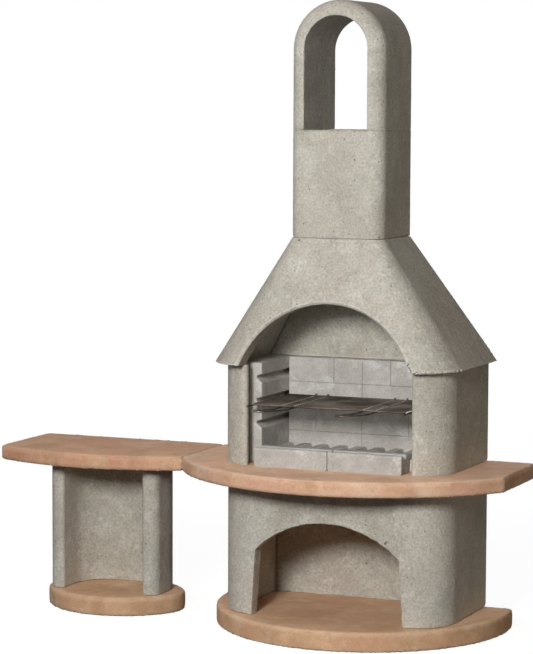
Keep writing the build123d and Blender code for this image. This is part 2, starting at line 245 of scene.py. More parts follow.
class Canvas(Sheet):
    """The node tree of one finish."""

    def __init__(self, name: str) -> None:
        """Makes an empty finish of that name."""
        self.material = bpy.data.materials.new(name)
        self.material.use_nodes = True
        self.material.node_tree.nodes.clear()
        super().__init__(self.material.node_tree)

    def place(self) -> Term:
        """Object coordinates, in metres."""
        return self.node("ShaderNodeTexCoord", output="Object")

    def normal(self) -> Term:
        """Direction that the surface faces."""
        return self.node("ShaderNodeNewGeometry", output="Normal")

    def tint(
        self,
        factor: "float | Term",
        low: "Colour | Term",
        high: "Colour | Term",
        way: str = "MIX",
    ) -> Term:
        """Mix of two colours, which the Mix node takes at inputs 6 and 7 and gives at output 2.

        Args:
            factor: 0 for the first colour and 1 for the second.
            low, high: The two colours.
            way: Blend type of the Mix node.

        Returns:
            The mixed colour.
        """
        ends = {6: low, 7: high}
        given = {i: (*c, 1.0) if isinstance(c, tuple) else c for i, c in ends.items()}
        return self.node(
            "ShaderNodeMix",
            {"data_type": "RGBA", "blend_type": way, "clamp_factor": True},
            {0: factor, **given},
            output=2,
        )

    def shade(self, colour: Term, level: Term) -> Term:
        """A colour made darker or lighter by a level that is 1 where nothing changes."""
        grey = self.node("ShaderNodeCombineColor", None, {0: level, 1: level, 2: level})
        return self.tint(1.0, colour, grey, "MULTIPLY")

    def specks(
        self,
        at: Term,
        spacing: float,
        radius: float,
        share: float,
        soft: float = 0.5,
    ) -> Term:
        """Round specks, strewn without order.

        Args:
            at: Place that they are read at, in metres.
            spacing: Mean distance between neighbours, in metres.
            radius: Radius of the largest speck, in metres.
            share: Share of the places that carry a speck.
            soft: Width of a speck's edge as a share of its radius.

        Returns:
            1 inside a speck and 0 outside.
        """
        cells = {"Vector": at, "Scale": 1 / spacing, "Randomness": 1.0}
        distance = self.node("ShaderNodeTexVoronoi", {"feature": "F1"}, cells, "Distance")
        draw = self.node("ShaderNodeSeparateColor", None, {0: distance.beside("Color")})
        reach = draw.ramp(1 - share, 1.0) * (radius / spacing)
        return (reach - distance).ramp(0.0, soft * radius / spacing)

    def mask(self, name: str) -> Term:
        """A mask that the piece's own mesh carries."""
        return self.node("ShaderNodeAttribute", {"attribute_name": name}, output="Fac")

    def relief(self, height: Term, depth: float) -> Term:
        """Bump from a height between 0 and 1 that stands for depth metres."""
        given = {"Height": height, "Strength": 1.0, "Distance": depth}
        return self.node("ShaderNodeBump", None, given)

    def finish(self, shader: dict) -> bpy.types.Material:
        """Ends the tree with a Principled BSDF.

        Args:
            shader: Values and terms of its sockets.

        Returns:
            The material.
        """
        given = {n: (*v, 1.0) if isinstance(v, tuple) else v for n, v in shader.items()}
        surface = self.node("ShaderNodeBsdfPrincipled", None, given)
        self.link_out("ShaderNodeOutputMaterial", "Surface", surface)
        return self.material


@dataclass(frozen=True)
class Cast:
    """Cast concrete: clouds, sand, pinholes, bleached patches, rubbed arrises, dust with painted top
    light and sheen on upward faces, and painted shade in creases and joint grooves. Metres.

    A span is where a noise begins to show and where it shows in full. A share is how much of a
    layer reaches the colour below it.
    """

    name: str
    light: Colour
    dark: Colour
    blush: Colour
    bleach: Colour
    pore: Colour
    rust: Colour
    aside: Point = (3.7, 1.9, 5.3)
    cloud_size: float = 0.21
    cloud_span: Span = (0.36, 0.64)
    cloud_contrast: float = 0.65
    blush_size: float = 0.34
    blush_span: Span = (0.42, 0.66)
    blush_share: float = 0.45
    bleach_size: float = 0.075
    bleach_span: Span = (0.50, 0.68)
    bleach_share: float = 0.28
    grain_size: float = 0.0070
    grain_contrast: float = 0.85
    grain_part: float = 0.82
    coarse_ratio: float = 3.4
    grit_ratio: float = 0.8
    grit_places: float = 0.6
    grit_share: float = 0.35
    pore_share: float = 0.5
    pore_radius: float = 0.0030
    pore_spacing: float = 0.017
    pore_darkness: float = 0.75
    large_radius_ratio: float = 1.7
    large_spacing_ratio: float = 3.1
    stain_size: float = 0.05
    stain_span: Span = (0.46, 0.60)
    arris_share: float = 0.12
    # crease_share: painted shade, a tint towards the pore colour in creases and joint grooves.
    crease_share: float = 0.5
    # Upward faces: the veil pales them with dust and painted sheen; the share brightens them as painted
    # top light.
    dust_span: Span = (0.6, 0.95)
    dust_share: float = 0.0
    dust_veil: float = 0.0
    relief_depth: float = 0.0042
    relief_grain: float = 0.55
    relief_pores: float = 0.35
    roughness: float = 0.9
    roughness_spread: float = 0.1
    specular: float = 0.25

    def material(self) -> bpy.types.Material:
        """The finish as a material."""
        sheet = Canvas(self.name)
        at = sheet.place()
        aside = sheet.vector("ADD", at, self.aside)
        clouds = sheet.noise(at, self.cloud_size, detail=5.0, rough=0.6, twist=0.3)
        clouds = clouds.ramp(*self.cloud_span)
        colour = sheet.tint(clouds * self.cloud_contrast, self.dark, self.light)
        blush = sheet.noise(aside, self.blush_size).ramp(*self.blush_span)
        colour = sheet.tint(blush * self.blush_share, colour, self.blush)
        bleach = sheet.noise(aside, self.bleach_size, detail=4.0, rough=0.7).ramp(*self.bleach_span)
        colour = sheet.tint(bleach * self.bleach_share, colour, self.bleach)
        grain = sheet.noise(at, self.grain_size, detail=4.0, rough=0.75)
        coarse = sheet.noise(aside, self.grain_size * self.coarse_ratio, detail=2.0, rough=0.6)
        sand = grain * self.grain_part + coarse * (1 - self.grain_part)
        colour = sheet.shade(colour, (sand - 0.5) * (2 * self.grain_contrast) + 1.0)
        pores = self.pores(sheet, at, aside)
        colour = self.specked(sheet, colour, pores, at, aside)
        # Painted light on upward faces: a pale veil of dust and sheen, then a brightening that stands
        # for light from above.
        if self.dust_share:
            dust_and_top_light = sheet.along(sheet.normal(), UPWARD).ramp(*self.dust_span)
            colour = sheet.tint(dust_and_top_light * self.dust_veil, colour, self.bleach)
            colour = sheet.shade(colour, dust_and_top_light * self.dust_share + 1.0)
        colour = sheet.tint(sheet.mask("rubbed") * self.arris_share, colour, self.bleach)
        # Painted shade: creases and joint grooves are darkened towards the pore colour.
        colour = sheet.tint(sheet.mask("crease") * self.crease_share, colour, self.pore)
        height = grain * self.relief_grain + coarse * (1 - self.relief_grain)
        height = height - pores * self.relief_pores
        smoothest = self.roughness - self.roughness_spread / 2
        return sheet.finish({
            "Base Color": colour,
            "Roughness": grain * self.roughness_spread + smoothest,
            "Normal": sheet.relief(height, self.relief_depth),
            "Specular IOR Level": self.specular,
        })

    def pores(self, sheet: Canvas, at: Term, aside: Term) -> Term:
        """1 inside a pinhole, small or large."""
        fine = sheet.specks(at, self.pore_spacing, self.pore_radius, self.pore_share)
        spacing = self.pore_spacing * self.large_spacing_ratio
        radius = self.pore_radius * self.large_radius_ratio
        return fine.greatest(sheet.specks(aside, spacing, radius, self.pore_share))

    def specked(self, sheet: Canvas, colour: Term, pores: Term, at: Term, aside: Term) -> Term:
        """The colour with pale grit and with dark or rusty pinholes in it."""
        spacing, radius = self.pore_spacing * self.grit_ratio, self.pore_radius * self.grit_ratio
        grit = sheet.specks(aside, spacing, radius, self.grit_places)
        colour = sheet.tint(grit * self.grit_share, colour, self.bleach)
        stain = sheet.noise(at, self.stain_size, detail=2.0).ramp(*self.stain_span)
        hole = sheet.tint(stain, self.pore, self.rust)
        return sheet.tint(pores * self.pore_darkness, colour, hole)


@dataclass(frozen=True)
class Steel:
    """Plated wire, dulled by handling, darkened by smoke and bright at the welds. Metres."""

    name: str
    bright: Colour
    dull: Colour
    weld: Colour
    roughness: float = 0.36
    soot_roughness: float = 0.1
    weld_roughness: float = 0.24
    soot_size: float = 0.11
    soot_span: Span = (0.30, 0.70)
    scratch_size: float = 0.0016
    scratch_stretch: Point = (0.08, 1.0, 1.0)
    scratch_contrast: float = 0.4
    scratch_depth: float = 0.00008

    def material(self) -> bpy.types.Material:
        """The finish as a material."""
        sheet = Canvas(self.name)
        at = sheet.place()
        soot = sheet.noise(at, self.soot_size, rough=0.5).ramp(*self.soot_span)
        weld = sheet.mask("weld")
        drawn = sheet.vector("MULTIPLY", at, self.scratch_stretch)
        scratch = sheet.noise(drawn, self.scratch_size, detail=2.0, rough=0.6)
        colour = sheet.tint(weld, sheet.tint(soot, self.bright, self.dull), self.weld)
        level = scratch * self.scratch_contrast + (1 - self.scratch_contrast / 2)
        polish = weld * (self.roughness - self.weld_roughness)
        return sheet.finish({
            "Base Color": sheet.shade(colour, level),
            "Metallic": 1.0,
            "Roughness": soot * self.soot_roughness + self.roughness - polish,
            "Normal": sheet.relief(scratch, self.scratch_depth),
        })


class Shape(Sheet):
    """A geometry tree with named inputs, which ends in Realize Instances and Set Material.

    Edges that turn by more than crisp_angle, in radians, count as sharp.
    """

    crisp_angle: float = 0.6

    def __init__(self, name: str, inputs: dict[str, tuple[str, object]]) -> None:
        """Makes the tree and its inputs.

        Args:
            name: Name of the tree.
            inputs: Socket type and first value of each input, by name.
        """
        super().__init__(bpy.data.node_groups.new(name, "GeometryNodeTree"))
        face = self.tree.interface
        face.new_socket(name="Geometry", in_out="INPUT", socket_type="NodeSocketGeometry")
        face.new_socket(name="Geometry", in_out="OUTPUT", socket_type="NodeSocketGeometry")
        for label, (kind, value) in inputs.items():
            socket = face.new_socket(name=label, in_out="INPUT", socket_type=kind)
            if value is not None:
                socket.default_value = value
        self.given = self.tree.nodes.new("NodeGroupInput")

    def input(self, name: str) -> Term:
        """One of the tree's inputs."""
        return Term(self, self.given.outputs[name])

    def turns_by(self, angle: float) -> Term:
        """Edges whose two faces meet at more than that many radians."""
        turn = self.node("GeometryNodeInputMeshEdgeAngle", output="Unsigned Angle")
        settings = {"data_type": "FLOAT", "operation": "GREATER_THAN"}
        return self.node("FunctionNodeCompare", settings, {0: turn, 1: angle})

    def end(self, geometry: Term, smooth: bool = True) -> None:
        """Ends the tree in one mesh that carries its input Material.

        Args:
            geometry: What the tree made.
            smooth: Whether it is shaded smooth, apart from edges that turn sharply.
        """
        mesh = self.node("GeometryNodeRealizeInstances", None, {"Geometry": geometry})
        if smooth:
            mesh = self.node("GeometryNodeSetShadeSmooth", None, {"Geometry": mesh})
            sharp = self.turns_by(self.crisp_angle)
            edges = {"Geometry": mesh, "Selection": sharp, "Shade Smooth": False}
            mesh = self.node("GeometryNodeSetShadeSmooth", {"domain": "EDGE"}, edges)
        dressed = {"Geometry": mesh, "Material": self.input("Material")}
        mesh = self.node("GeometryNodeSetMaterial", None, dressed)
        self.link_out("NodeGroupOutput", "Geometry", mesh)

    def keep(self, geometry: Term, name: str, value: "float | Term") -> Term:
        """Stores a value on every point, as a mask for the finish."""
        stored = {"Geometry": geometry, "Name": name, "Value": value}
        settings = {"data_type": "FLOAT", "domain": "POINT"}
        return self.node("GeometryNodeStoreNamedAttribute", settings, stored)

    def apply(self, piece: bpy.types.Object, values: dict[str, object]) -> None:
        """Runs the tree on a piece and keeps the result as its plain mesh.

        Args:
            piece: Object whose mesh is the input.
            values: Value of each named input.
        """
        modifier = piece.modifiers.new(self.tree.name, "NODES")
        modifier.node_group = self.tree
        for item in self.tree.interface.items_tree:
            if item.in_out == "INPUT" and item.name in values:
                modifier[item.identifier] = values[item.name]
        bake(piece)


def plain_mesh(piece: bpy.types.Object) -> bpy.types.Mesh:
    """A new mesh of what a piece's curve or modifiers make."""
    graph = bpy.context.evaluated_depsgraph_get()
    graph.update()
    return bpy.data.meshes.new_from_object(piece.evaluated_get(graph), depsgraph=graph)


def bake(piece: bpy.types.Object) -> None:
    """Turns a piece's modifiers into its plain mesh."""
    mesh = plain_mesh(piece)
    piece.modifiers.clear()
    piece.data = mesh


def new_piece(name: str, data: bpy.types.ID) -> bpy.types.Object:
    """A linked object at the origin."""
    piece = bpy.data.objects.new(name, data)
    bpy.context.scene.collection.objects.link(piece)
    return piece


def crisping() -> Shape:
    """Tree that lays a net of faces on its pattern, with a row of points on every sharp arris."""
    shape = Shape("crisping", {
        "Pattern": ("NodeSocketObject", None),
        "Reach": ("NodeSocketFloat", 0.0025),
        "Material": ("NodeSocketMaterial", None),
    })
    given = {"Object": shape.input("Pattern")}
    pattern = shape.node("GeometryNodeObjectInfo", None, given, "Geometry")
    settings = {"target_element": "FACES"}
    faces = shape.node("GeometryNodeProximity", settings, {0: pattern}, "Position")
    net = shape.input("Geometry")
    laid = shape.node("GeometryNodeSetPosition", None, {"Geometry": net, "Position": faces})
    sharp = {"Geometry": pattern, "Selection": shape.turns_by(shape.crisp_angle)}
    arrises = shape.node("GeometryNodeSeparateGeometry", {"domain": "EDGE"}, sharp)
    settings = {"target_element": "EDGES"}
    spot = shape.node("GeometryNodeProximity", settings, {0: arrises}, "Position")
    settings = {"data_type": "FLOAT", "operation": "LESS_THAN"}
    lengths = {0: spot.beside("Distance"), 1: shape.input("Reach")}
    near = shape.node("FunctionNodeCompare", settings, lengths)
    moves = {"Geometry": laid, "Selection": near, "Position": spot}
    shape.end(shape.node("GeometryNodeSetPosition", None, moves), smooth=False)
    return shape


def weathering() -> Shape:
    """Tree that rubs the arrises, knocks chips out of them, makes the faces slightly uneven and marks
    the creases for painted shade.
    """
    rub_start, crease_shade_start, full = 0.12, 0.15, 1.0
    chip_span: Span = (0.02, 0.22)
    chip_fade = 0.6
    number, vector = "NodeSocketFloat", "NodeSocketVector"
    shape = Shape("weathering", {
        "Blur steps": ("NodeSocketInt", 3),
        "Rounding": (number, 0.6),
        "Arris width": (number, 0.0012),
        "Chip depth": (number, 0.004),
        "Chip size": (number, 0.03),
        "Chip share": (number, 0.4),
        "Chips from": (number, -FAR),
        "Chips to": (number, 1 - FAR),
        "Chip height": (number, FAR),
        "Swell depth": (number, 0.0006),
        "Swell size": (number, 0.09),
        "Offset": (vector, (0.0, 0.0, 0.0)),
        "Low": (vector, (-FAR, -FAR, -FAR)),
        "High": (vector, (FAR, FAR, FAR)),
        "Material": ("NodeSocketMaterial", None),
    })
    place = shape.node("GeometryNodeInputPosition")
    normal = shape.node("GeometryNodeInputNormal")
    blur = {"Value": place, "Iterations": shape.input("Blur steps"), "Weight": 1.0}
    blurred = shape.node("GeometryNodeBlurAttribute", {"data_type": "FLOAT_VECTOR"}, blur)

    # The pull towards the blurred net shows where the surface bends, outward or inward.
    pull = shape.vector("SUBTRACT", blurred, place)
    bend = shape.along(pull, normal) / shape.input("Arris width")
    rubbed = (bend * -1.0).ramp(rub_start, full)
    # Inward bends are marked for painted shade in the creases.
    crease = bend.ramp(crease_shade_start, full)

    # Chips need a rubbed arris. They lie low on the piece, and grow in number to its right.
    at = shape.vector("ADD", place, shape.input("Offset"))
    wide = shape.noise(at, shape.input("Chip size"), detail=4.0, rough=0.65)
    above = shape.along(shape.vector("SUBTRACT", place, shape.input("Low")), UPWARD)
    low_down = above.ramp(shape.input("Chip height"), shape.input("Chip height") * chip_fade)
    lean = shape.along(place, RIGHTWARD).ramp(shape.input("Chips from"), shape.input("Chips to"))
    broken = (wide + shape.input("Chip share") * 0.5 - 0.5).ramp(*chip_span)
    chips = broken * rubbed * (lean * low_down)

    # The new place of each point, held inside the box of the solid.
    swell = shape.noise(at, shape.input("Swell size"), detail=3.0, rough=0.5)
    inward = chips * shape.input("Chip depth") + swell * shape.input("Swell depth")
    rounding = shape.scaled(pull, shape.input("Rounding") * rubbed.greatest(crease))
    offset = shape.vector("SUBTRACT", rounding, shape.scaled(normal, inward))
    target = shape.vector("MINIMUM", shape.vector("ADD", place, offset), shape.input("High"))
    target = shape.vector("MAXIMUM", target, shape.input("Low"))
    moves = {"Geometry": shape.input("Geometry"), "Position": target}
    moved = shape.node("GeometryNodeSetPosition", None, moves)
    # Both masks go to the finish: the rubbed arrises and the painted crease shade.
    for name, mask in (("rubbed", rubbed), ("crease", crease)):
        moved = shape.keep(moved, name, mask)
    shape.end(moved)
    return shape


@dataclass(frozen=True)
class Wear:
    """How much a casting has been rubbed and chipped. Lengths are in metres."""

    blur_steps: int = 2
    rounding: float = 0.45
    arris_width: float = 0.0009
    chip_depth: float = 0.0018
    chip_size: float = 0.016
    chip_share: float = 0.3
    chips_from: float = -FAR
    chips_to: float = 1 - FAR
    chip_height: float = FAR
    swell_depth: float = 0.0005
    swell_size: float = 0.07

    def inputs(self) -> dict[str, float]:
        """The values by the names of the weathering tree's inputs."""
        return {name.replace("_", " ").capitalize(): value for name, value in vars(self).items()}


@dataclass
class Casting:
    """One casting: the frame's shape with worn arrises. Metres and radians.

    A grid of 0 keeps the solid's own faces and bevels their arrises. Snap is how far an arris draws
    points, as a share of the grid. Shift sets each piece at another place in the noise.
    """

    node: str
    finish: Cast
    slot: Slot
    grid: float
    wear: Wear = Wear()
    snap: float = 0.62
    shift: float = 7.0
    flat_angle: float = math.radians(0.5)
    arris_angle: float = math.radians(40.0)
    joint_top: float = 0.0005
    joint_depth: float = 0.004

    def build(self, workshop: "Workshop") -> bpy.types.Object:
        """Makes the worn piece in place of its node.

        Args:
            workshop: Holds the frame, the finishes and the trees.

        Returns:
            The piece.
        """
        mesh = workshop.frame["nodes"][self.node].data.copy()
        merged = bmesh.new()
        merged.from_mesh(mesh)
        bmesh.ops.remove_doubles(merged, verts=merged.verts, dist=workshop.merge_distance)
        merged.to_mesh(mesh)
        merged.free()
        mesh.materials.clear()
        piece = new_piece("worn_" + self.node, mesh)
        if not self.grid:
            return self.trim(piece, workshop)
        pattern = new_piece("pattern_" + self.node, mesh.copy())
        cells = piece.modifiers.new("cells", "REMESH")
        cells.mode = "VOXEL"
        cells.voxel_size = self.grid
        material = workshop.material(self.finish)
        crisp = {"Pattern": pattern, "Reach": self.grid * self.snap, "Material": material}
        workshop.crisping.apply(piece, crisp)
        bpy.data.objects.remove(pattern)
        low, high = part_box(self.node)
        workshop.weathering.apply(piece, {
            **self.wear.inputs(),
            "Offset": tuple(low * self.shift),
            "Low": tuple(low),
            "High": tuple(high),
            "Material": material,
        })
        return self.hand_over(piece)

    def trim(self, piece: bpy.types.Object, workshop: "Workshop") -> bpy.types.Object:
        """Finishes a piece of fine detail without a net of faces, with bevelled arrises.

        Args:
            piece: Holds the frame's shape.
            workshop: Holds the finishes.

        Returns:
            The piece.
        """
        flat = piece.modifiers.new("flat", "DECIMATE")
        flat.decimate_type = "DISSOLVE"
        flat.angle_limit = self.flat_angle
        arrises = piece.modifiers.new("arrises", "BEVEL")
        arrises.width = self.wear.arris_width
        arrises.segments = 2
        arrises.limit_method = "ANGLE"
        arrises.angle_limit = self.arris_angle
        bake(piece)
        # Painted shade: faces in the joint grooves just behind the front are marked for darkening.
        front = min(vertex.co.y for vertex in piece.data.vertices)
        joints = piece.data.attributes.new("crease", "FLOAT", "FACE")
        for face, groove_shade in zip(piece.data.polygons, joints.data):
            face.use_smooth = False
            groove_shade.value = float(self.joint_top < face.center.y - front < self.joint_depth)
        piece.data.materials.clear()
        piece.data.materials.append(workshop.material(self.finish))
        return self.hand_over(piece)

    def hand_over(self, piece: bpy.types.Object) -> bpy.types.Object:
        """Puts the piece in place of its node."""
        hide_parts(self.node)
        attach(piece, Body.MASONRY.value)
        LOG.info("%s: %d faces", piece.name, len(piece.data.polygons))
        return piece


@dataclass
class Workshop:
    """What every sub-assembly needs: the frame, the finishes made so far and the trees."""

    frame: dict
    merge_distance: float = 0.00002
    finishes: dict = field(default_factory=dict)

    def __post_init__(self) -> None:
        """Makes the trees that all castings share."""
        self.crisping = crisping()
        self.weathering = weathering()

    def material(self, finish: "Cast | Steel") -> bpy.types.Material:
        """The material of a finish, made once."""
        if finish.name not in self.finishes:
            self.finishes[finish.name] = finish.material()
        return self.finishes[finish.name]


GREY = Cast(
    name="fair_faced_concrete",
    light=srgb(203, 199, 187),
    dark=srgb(178, 173, 160),
    blush=srgb(193, 182, 171),
    bleach=srgb(226, 224, 216),
    pore=srgb(74, 64, 55),
    rust=srgb(132, 92, 70),
)
ROUGH_GREY = replace(GREY, name="rough_concrete", arris_share=0.55, pore_share=0.6)
TERRACOTTA = Cast(
    name="terracotta_concrete",
    light=srgb(226, 185, 152),
    dark=srgb(203, 158, 126),
    blush=srgb(217, 167, 141),
    bleach=srgb(230, 208, 182),
    pore=srgb(128, 84, 62),
    rust=srgb(150, 92, 66),
    cloud_size=0.12,
    cloud_contrast=0.95,
    blush_size=0.16,
    blush_share=0.85,
    bleach_size=0.13,
    bleach_share=0.42,
    grain_size=0.006,
    grain_contrast=0.36,
    grit_share=0.15,
    pore_share=0.2,
    pore_radius=0.0022,
    pore_spacing=0.03,
    arris_share=0.2,
    # Painted top light and sheen on upward faces, with the dust.
    dust_share=0.16,
    dust_veil=0.2,
    relief_depth=0.0022,
)
DEEP_TERRACOTTA = replace(
    TERRACOTTA,
    name="deep_terracotta_concrete",
    light=srgb(221, 180, 144),
    dark=srgb(197, 155, 118),
    blush=srgb(208, 163, 129),
    # Painted top light and sheen on upward faces, with the dust.
    dust_share=0.1,
    dust_veil=0.1,
)
BURNT_TERRACOTTA = replace(
    TERRACOTTA,
    name="burnt_terracotta_concrete",
    light=srgb(216, 170, 137),
    dark=srgb(190, 142, 110),
    blush=srgb(206, 150, 122),
    bleach=srgb(221, 196, 166),
)
REFRACTORY = Cast(
    name="refractory_plate",
    light=srgb(205, 201, 195),
    dark=srgb(180, 176, 169),
    blush=srgb(196, 186, 180),
    bleach=srgb(232, 233, 232),
    pore=srgb(104, 95, 86),
    rust=srgb(150, 120, 100),
    cloud_size=0.09,
    blush_size=0.14,
    bleach_size=0.07,
    bleach_share=0.42,
    grain_size=0.006,
    grain_contrast=0.5,
    grit_share=0.4,
    pore_share=0.25,
    pore_radius=0.0024,
    arris_share=0.3,
    # Painted shade in the joint grooves and creases.
    crease_share=0.3,
    relief_depth=0.003,
)
CURB = replace(
    REFRACTORY,
    name="refractory_curb",
    light=srgb(196, 194, 189),
    dark=srgb(172, 169, 163),
    blush=srgb(188, 181, 175),
)
RACK_STEEL = Steel(
    name="dulled_wire",
    bright=srgb(112, 104, 96),
    dull=srgb(66, 58, 52),
    weld=srgb(232, 228, 222),
)


@dataclass
class MainUnit:
    """Slab, plinth, worktop, firebox walls, hood and chimney."""

    wall_grid: float = 0.0045
    hood_grid: float = 0.0046
    slab_grid: float = 0.0050
    slab_wear: Wear = Wear(blur_steps=4, rounding=0.8, chip_depth=0.001)
    hood_wear: Wear = Wear(
        chip_depth=0.008,
        chip_size=0.010,
        chip_share=0.8,
        chips_from=0.05,
        chips_to=0.22,
        chip_height=0.04,
    )

    def castings(self) -> list[Casting]:
        """The castings from the ground up."""
        slabs = [
            Casting(n, finish, Slot.TERRACOTTA, self.slab_grid, self.slab_wear)
            for n, finish in (("base_slab", DEEP_TERRACOTTA), ("worktop_slab", TERRACOTTA))
        ]
        walls = (
            "plinth", "side_wall_left", "side_wall_right", "rear_wall", "chimney_block", "chimney_cowl",
        )
        hood = Casting("hood", ROUGH_GREY, Slot.CONCRETE, self.hood_grid, self.hood_wear)
        return slabs + [Casting(n, GREY, Slot.CONCRETE, self.wall_grid) for n in walls] + [hood]


@dataclass
class FireboxLining:
    """Refractory plates, hearth and curb. The back plates keep their solid's own faces."""

    plate_grid: float = 0.0026
    brick_grid: float = 0.0
    plate_wear: Wear = Wear(
        rounding=0.8, arris_width=0.0006, chip_depth=0.0016, chip_size=0.014, chip_share=0.5
    )
    brick_wear: Wear = Wear(arris_width=0.0004)

    def castings(self) -> list[Casting]:
        """Both sides of the lining."""
        kinds = (
            ("side_lining", REFRACTORY, self.plate_grid, self.plate_wear),
            ("back_lining", REFRACTORY, self.brick_grid, self.brick_wear),
            ("hearth_plate", REFRACTORY, self.plate_grid, self.plate_wear),
            ("curb_block", CURB, self.plate_grid, self.plate_wear),
        )
        return [
            Casting(f"{kind}_{side}", finish, Slot.REFRACTORY, grid, wear)
            for kind, finish, grid, wear in kinds
            for side in ("left", "right")
        ]


@dataclass
class SideTable:
    """Oval slab, upright and top of the side table."""

    wall_grid: float = 0.0045
    slab_grid: float = 0.005
    slab_wear: Wear = Wear(blur_steps=5, rounding=0.9, chip_depth=0.0012)

    def castings(self) -> list[Casting]:
        """The castings from the ground up."""
        slab = (Slot.TERRACOTTA, self.slab_grid, self.slab_wear)
        return [
            Casting("table_base_slab", DEEP_TERRACOTTA, *slab),
            Casting("table_support", GREY, Slot.CONCRETE, self.wall_grid),
            Casting("table_top_slab", BURNT_TERRACOTTA, *slab),
        ]


def rounded_path(corners: list[Vector], radius: float, steps: int = 6) -> list[Vector]:
    """A path of straight runs with its inner corners rounded.

    Args:
        corners: Ends and corners of the runs.
        radius: Bend radius at each inner corner.
        steps: Number of chords in each bend.

    Returns:
        The points of the path.
    """
    points = [corners[0]]
    for before, corner, after in zip(corners, corners[1:], corners[2:]):
        enter = (before - corner).normalized()
        leave = (after - corner).normalized()
        half = enter.angle(leave) / 2
        room = min((before - corner).length, (after - corner).length) / 2
        back = min(radius / math.tan(half), room)
        centre = corner + (enter + leave).normalized() * (back / math.cos(half))
        start, end = corner + enter * back - centre, corner + leave * back - centre
        points += [centre + start.slerp(end, i / steps) * start.length for i in range(steps + 1)]
    return points + [corners[-1]]


def rack_wires() -> Shape:
    """Tree that lays the cross wires over the long rods and puts a weld bead on each crossing."""
    number, count, vector = "NodeSocketFloat", "NodeSocketInt", "NodeSocketVector"
    shape = Shape("rack_wires", {
        "Wire count": (count, 19),
        "Wire sides": (count, 12),
        "First wire": (vector, (0.0, 0.0, 0.0)),
        "Pitch": (vector, (0.0, 0.01, 0.0)),
        "Span": (vector, (0.5, 0.0, 0.0)),
        "Wire radius": (number, 0.002),
        "Bead radius": (number, 0.002),
        "Bead steps": (count, 2),
        "Bead drop": (vector, (0.0, 0.0, 0.0)),
        "Material": ("NodeSocketMaterial", None),
    })
    line = shape.node("GeometryNodeMeshLine", {"mode": "OFFSET"}, {
        "Count": shape.input("Wire count"),
        "Start Location": shape.input("First wire"),
        "Offset": shape.input("Pitch"),
    })
    run = shape.node("GeometryNodeCurvePrimitiveLine", None, {"End": shape.input("Span")})
    ring = shape.node("GeometryNodeCurvePrimitiveCircle", None, {
        "Resolution": shape.input("Wire sides"), "Radius": shape.input("Wire radius"),
    })
    swept = {"Curve": run, "Profile Curve": ring, "Fill Caps": True}
    wire = shape.node("GeometryNodeCurveToMesh", None, swept)
    wires = shape.node("GeometryNodeInstanceOnPoints", None, {"Points": line, "Instance": wire})
    bead = shape.node("GeometryNodeMeshIcoSphere", None, {
        "Radius": shape.input("Bead radius"), "Subdivisions": shape.input("Bead steps"),
    })
    bead = shape.keep(bead, "weld", 1.0)
    row = shape.node("GeometryNodeInstanceOnPoints", None, {"Points": line, "Instance": bead})
    columns = {"Points": shape.input("Geometry"), "Instance": row}
    rows = shape.node("GeometryNodeInstanceOnPoints", None, columns)
    drop = {"Geometry": rows, "Translation": shape.input("Bead drop")}
    lowered = shape.node("GeometryNodeTransform", None, drop)
    both = shape.node("GeometryNodeJoinGeometry", None, {"Geometry": wires})
    shape.tree.links.new(lowered.socket, both.socket.node.inputs["Geometry"])
    shape.end(both)
    return shape


